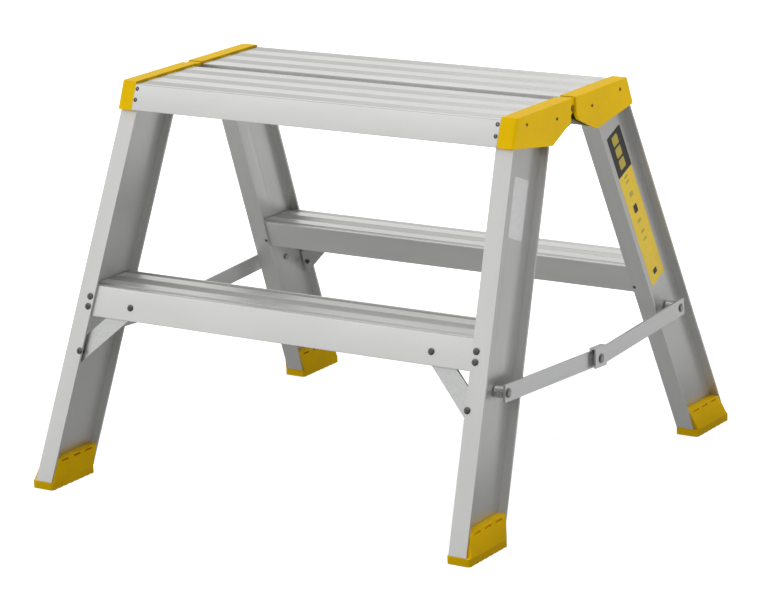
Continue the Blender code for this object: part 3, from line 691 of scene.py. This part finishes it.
def add_spacer(node, finish):
    low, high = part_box(node)
    centre = (low + high) / 2
    radius, half = (high.z - low.z) / 2, (high.x - low.x) / 2
    chamfer, bore = SPACER_CHAMFER, PIVOT_SHANK + SPACER_ROOM
    profile = [
        (bore, half), (radius - chamfer, half), (radius, half - chamfer),
        (radius, chamfer - half), (radius - chamfer, -half), (bore, -half), (bore, half),
    ]
    mesh = turned(profile, node)
    mesh.transform(Matrix.Translation(centre) @ Matrix.Rotation(math.pi / 2, 4, "Y"))
    add_piece(f"fine_{node}", mesh, finish, BODY_OF[node], (node,))


# ---------------------------------------------------------------- rivets and pins

def dome(head, height, blind):
    """The top of a head, from its middle out; a blind rivet has the hole its mandrel left."""
    if blind:
        foot = MANDREL * MANDREL_FOOT
        points = [(0, -MANDREL_DEPTH), (foot, -MANDREL_DEPTH), (MANDREL, -MANDREL_LIP)]
        first = MANDREL * MANDREL_MOUTH
    else:
        points = [(0, 0)]
        first = head * DOME_FLAT
    for step in range(DOME_STEPS + 1):
        radius = first + (head - first) * step / DOME_STEPS
        sink = (height - DOME_RIM) * (radius / head) ** DOME_CURVE
        points.append((radius, -sink))
    points.append((head, -height))
    return points


def rivet_profile(length, head, shank, blind):
    profile = dome(head, HEAD_HEIGHT, blind)
    tail = shank + TAIL_LIP
    profile += [
        (shank, -HEAD_HEIGHT), (shank, TAIL_HEIGHT - length), (tail, TAIL_HEIGHT - length),
        (tail, TAIL_BEVEL - length), (tail - TAIL_BEVEL, -length), (0, -length),
    ]
    return profile


def axis_ends(node, axis):
    """Where the node's own axis leaves it: (far end along axis, length)."""
    points = [v.co for v in frame["nodes"][node].data.vertices]
    reach = [p.dot(axis) for p in points]
    across = [p - axis * p.dot(axis) for p in points]
    low = Vector([min(p[i] for p in across) for i in range(3)])
    high = Vector([max(p[i] for p in across) for i in range(3)])
    return (low + high) / 2 + axis * max(reach), max(reach) - min(reach)


def add_rivet(name, top, axis, length, finish, body, sizes, blind=True, replaced=()):
    head, shank = sizes
    mesh = turned(rivet_profile(length, head, shank, blind), name)
    mesh.transform(Matrix.Translation(top) @ axis.to_track_quat("Z", "X").to_matrix().to_4x4())
    return add_piece(name, mesh, finish, body, replaced)


def add_node_rivets(finish, pivot_finish, pin_finish):
    for corner, (_, side_y) in CORNERS.items():
        axis = Vector((0, side_y, LEAN)).normalized()
        for kind in ("step_rivet_upper", "step_rivet_lower", "brace_stile_rivet", "brace_step_rivet"):
            node = f"{corner}_{kind}"
            top, length = axis_ends(node, axis)
            sizes = (RIVET_HEAD, RIVET_SHANK)
            add_rivet(f"fine_{node}", top, axis, length, finish, BODY_OF[node], sizes, True, (node,))
    for end, side_x in END.items():
        axis = Vector((side_x, 0, 0))
        for kind in ("front_stay_rivet", "middle_stay_rivet"):
            node = f"{end}_{kind}"
            top, length = axis_ends(node, axis)
            sizes = (PIVOT_HEAD, PIVOT_SHANK)
            add_rivet(f"fine_{node}", top, axis, length, pivot_finish, BODY_OF[node], sizes, False, (node,))
        soft_node(f"{end}_rear_stay_rivet", PIN_EDGE, pivot_finish, axis)
        soft_node(f"{end}_rear_bar_stud", PIN_EDGE, pivot_finish, axis)
        soft_node(f"{end}_hinge_pin", PIN_EDGE, pin_finish, axis)


def add_small_rivets(finish, cap_finish):
    """The rivets that hold the caps and planks, and one in each inner flange."""
    for corner, (side_x, side_y) in CORNERS.items():
        body = BODY_OF[f"{corner}_cap"]
        face = max(abs(v) for v in (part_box(f"{corner}_cap")[0].x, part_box(f"{corner}_cap")[1].x))
        outward = Vector((side_x, 0, 0))
        for number, (y, z) in enumerate(CAP_RIVETS):
            top = Vector((side_x * (face + RIVET_PROUD), side_y * y * MM, z * MM))
            name = f"{corner}_cap_rivet_{number + 1}"
            add_rivet(name, top, outward, CAP_RIVET_LENGTH, cap_finish, body, SMALL_RIVET)
        lean = Vector((0, side_y, LEAN)).normalized()
        for number, z in enumerate(PLANK_RIVET_HEIGHTS):
            y = PLANK_FACE_Y + LEAN * (PLATFORM_HEIGHT - z)
            top = Vector((side_x * PLANK_RIVET_X, side_y * y, z)) + lean * RIVET_PROUD
            name = f"{corner}_plank_rivet_{number + 1}"
            add_rivet(name, top, lean, PLANK_RIVET_LENGTH, finish, body, PLANK_RIVET)
        z = INNER_RIVET_HEIGHT
        y = FOOT_Y - LEAN * z - STILE_DEPTH / 2
        top = Vector((side_x * INNER_RIVET_X, side_y * y, z)) - lean * RIVET_PROUD
        add_rivet(f"{corner}_inner_rivet", top, -lean, INNER_RIVET_LENGTH, finish, body, SMALL_RIVET)


# ---------------------------------------------------------------- labels

def label_plate(name, corner, z_range, offsets, finish, lift):
    """A thin film on the outer face of a stile's web, with rounded corners."""
    side_x, side_y = CORNERS[corner]
    length = (z_range[1] - z_range[0]) * math.hypot(1, LEAN)
    width = offsets[1] - offsets[0]
    half_x, half_y = length / 2, width / 2
    corners = [(-half_x, -half_y), (half_x, -half_y), (half_x, half_y), (-half_x, half_y)]
    radius = min(LABEL_CORNER, half_x / 3, half_y / 3)
    outline = rounded_outline([(Vector(c), radius) for c in corners])
    mesh = prism(outline, 0, LABEL_FILM, name)
    centre = stile_point(side_x, side_y, sum(z_range) / 2, sum(offsets) / 2, lift)
    up = stile_direction(side_x, side_y)
    outward = Vector((side_x, 0, SPLAY)).normalized()
    sideways = up.cross(outward).normalized()
    outward = sideways.cross(up).normalized()
    turn = Matrix((outward, up, sideways)).transposed().to_4x4()
    if turn.determinant() < 0:
        turn = turn @ Matrix.Diagonal((1, 1, -1, 1))
    mesh.transform(Matrix.Translation(centre) @ turn)
    return add_piece(name, mesh, finish, BODY_OF[f"{corner}_stile"], (), up)


def add_labels(black, yellow, olive, silver):
    """Plain films where the printed labels are, with generic blocks and marks and no lettering."""
    panel = "back_right"
    label_plate("label_dark_panel", panel, *DARK_PANEL, black, 0)
    for number, (low, high) in enumerate(LABEL_BLOCKS):
        z_range = (low * MM, high * MM)
        label_plate(f"label_block_{number + 1}", panel, z_range, BLOCK_EDGES, olive, MARK_LIFT)
    label_plate("label_yellow_panel", panel, *YELLOW_PANEL, yellow, 0)
    for number, (low, high, dark) in enumerate(LABEL_MARKS):
        z_range = (low * MM, high * MM)
        shade = black if dark else olive
        label_plate(f"label_mark_{number + 1}", panel, z_range, MARK_EDGES, shade, MARK_LIFT)
    label_plate("label_silver", "front_right", *SILVER_LABEL, silver, 0)


# ---------------------------------------------------------------- stage, light and camera

def add_floor():
    bpy.ops.mesh.primitive_plane_add(size=FLOOR_SIZE)
    floor = bpy.context.object
    floor.name = "floor"
    finish = bpy.data.materials.new("pale_floor")
    finish.use_nodes = True
    shader = finish.node_tree.nodes["Principled BSDF"]
    shader.inputs["Base Color"].default_value = FLOOR_SHADE
    shader.inputs["Roughness"].default_value = FLOOR_ROUGHNESS
    shader.inputs["Emission Color"].default_value = WHITE
    shader.inputs["Emission Strength"].default_value = FLOOR_GLOW
    floor.data.materials.append(finish)
    floor.visible_glossy = False


def add_under_patch():
    """A dim card that only the metal sees, in place of the trestle's own shade on the floor."""
    bpy.ops.mesh.primitive_plane_add(size=1)
    patch = bpy.context.object
    patch.name = "mirrored_shade"
    (low_x, high_x), (low_y, high_y) = PATCH
    patch.scale = (high_x - low_x, high_y - low_y, 1)
    patch.location = ((low_x + high_x) / 2, (low_y + high_y) / 2, PATCH_RISE)
    finish = bpy.data.materials.new("mirrored_shade")
    finish.use_nodes = True
    tree = finish.node_tree
    tree.nodes.clear()
    glow = tree.nodes.new("ShaderNodeEmission")
    glow.inputs["Strength"].default_value = PATCH_GLOW
    output = tree.nodes.new("ShaderNodeOutputMaterial")
    tree.links.new(glow.outputs["Emission"], output.inputs["Surface"])
    patch.data.materials.append(finish)
    patch.visible_camera = False
    patch.visible_shadow = False


def studio_world():
    """A pale studio: light falls off from the upper left, with a paler stretch low behind on the right."""
    world = bpy.data.worlds.new("studio")
    world.use_nodes = True
    tree = world.node_tree

    def arithmetic(operation, first, second):
        node = tree.nodes.new("ShaderNodeMath")
        node.operation = operation
        for socket, value in zip(node.inputs, (first, second)):
            if isinstance(value, (int, float)):
                socket.default_value = value
            else:
                tree.links.new(value, socket)
        return node.outputs["Value"]

    def towards(direction):
        node = tree.nodes.new("ShaderNodeVectorMath")
        node.operation = "DOT_PRODUCT"
        tree.links.new(place.outputs["Generated"], node.inputs[0])
        node.inputs[1].default_value = direction
        return node.outputs["Value"]

    place = tree.nodes.new("ShaderNodeTexCoord")
    slope = arithmetic("ADD", towards(SKY_SLOPE), SKY_MIDDLE)
    sky = arithmetic("MAXIMUM", slope, SKY_LEAST)
    facing = arithmetic("MAXIMUM", towards(WALL_TOWARDS), 0)
    wall = arithmetic("MULTIPLY", arithmetic("POWER", facing, WALL_SPREAD), WALL_BRIGHT)
    bright = arithmetic("ADD", sky, wall)
    background = tree.nodes["Background"]
    background.inputs["Color"].default_value = WHITE
    tree.links.new(bright, background.inputs["Strength"])
    bpy.context.scene.world = world


def area_light(name, place, power):
    data = bpy.data.lights.new(name, "AREA")
    data.size = LIGHT_SIZE
    data.energy = power
    light = bpy.data.objects.new(name, data)
    bpy.context.scene.collection.objects.link(light)
    light.location = place
    aim = Vector(LIGHT_AIM) - Vector(place)
    light.rotation_euler = aim.to_track_quat("-Z", "Y").to_euler()


def add_camera():
    data = bpy.data.cameras.new("camera")
    data.lens = CAMERA_LENS
    camera = bpy.data.objects.new("camera", data)
    bpy.context.scene.collection.objects.link(camera)
    yaw, pitch = CAMERA_YAW, CAMERA_PITCH
    forward = Vector(
        (-math.sin(yaw) * math.cos(pitch), math.cos(yaw) * math.cos(pitch), -math.sin(pitch))
    )
    right = Vector((math.cos(yaw), math.sin(yaw), 0))
    up = right.cross(forward)
    tilted_right = right * math.cos(CAMERA_ROLL) + up * math.sin(CAMERA_ROLL)
    tilted_up = up * math.cos(CAMERA_ROLL) - right * math.sin(CAMERA_ROLL)
    turn = Matrix((tilted_right, tilted_up, -forward)).transposed().to_4x4()
    camera.matrix_world = Matrix.Translation(CAMERA_PLACE) @ turn
    data.clip_end = CAMERA_FAR
    bpy.context.scene.camera = camera


# ---------------------------------------------------------------- build

span_metal = extruded_aluminium("extruded_aluminium", SPAN_SHADE)
# painted shade: the same aluminium as the spans, darker in the recesses
recess_shaded_metal = extruded_aluminium("recess_aluminium_painted_shade", RECESS_PAINTED_SHADE)
stile_metal = extruded_aluminium("stile_aluminium", STILE_SHADE)
flat_metal = flat_aluminium()
cap_plastic = moulded_plastic("moulded_plastic", *CAP_YELLOWS)
# painted light: the same plastic as the caps, in a lighter yellow
foot_plastic = moulded_plastic("foot_plastic_painted_lighter", *FOOT_YELLOWS_PAINTED_LIGHT)
# painted shade: the whole rivet is dark grey for the shade in its mandrel hole
rivet_steel = plated_steel("rivet_steel", *RIVET_PAINTED_SHADES, 0.35)
pivot_steel = plated_steel("pivot_steel", *PIVOT_SHADES, 0.3)
# steel in a yellow-brown colour, for the cap rivets and hinge pins
yellow_brown_steel = plated_steel("yellow_brown_steel", *YELLOW_BROWN_STEEL_SHADES, 0.35)
bracket_steel = plated_steel("bracket_steel", *BRACKET_SHADES, 0.35)
spacer_steel = plated_steel("spacer_steel", *SPACER_SHADES, 0.2)
dark_film = label_film("dark_film", DARK_FILM)
yellow_film = label_film("yellow_film", YELLOW_FILM)
olive_film = label_film("olive_film", OLIVE_FILM)
silver_film = label_film("silver_film", SILVER_FILM, SILVER_METALLIC)

add_spans(span_metal, recess_shaded_metal)
add_corners(stile_metal, cap_plastic, foot_plastic, bracket_steel, flat_metal)
add_tongues(cap_plastic)
add_stays(flat_metal, spacer_steel)
add_node_rivets(rivet_steel, pivot_steel, yellow_brown_steel)
add_small_rivets(rivet_steel, yellow_brown_steel)
add_labels(dark_film, yellow_film, olive_film, silver_film)

add_floor()
add_under_patch()
studio_world()
for light, (place, watts) in LIGHTS.items():
    area_light(light, place, watts)
add_camera()
bpy.context.scene.view_settings.view_transform = "Standard"
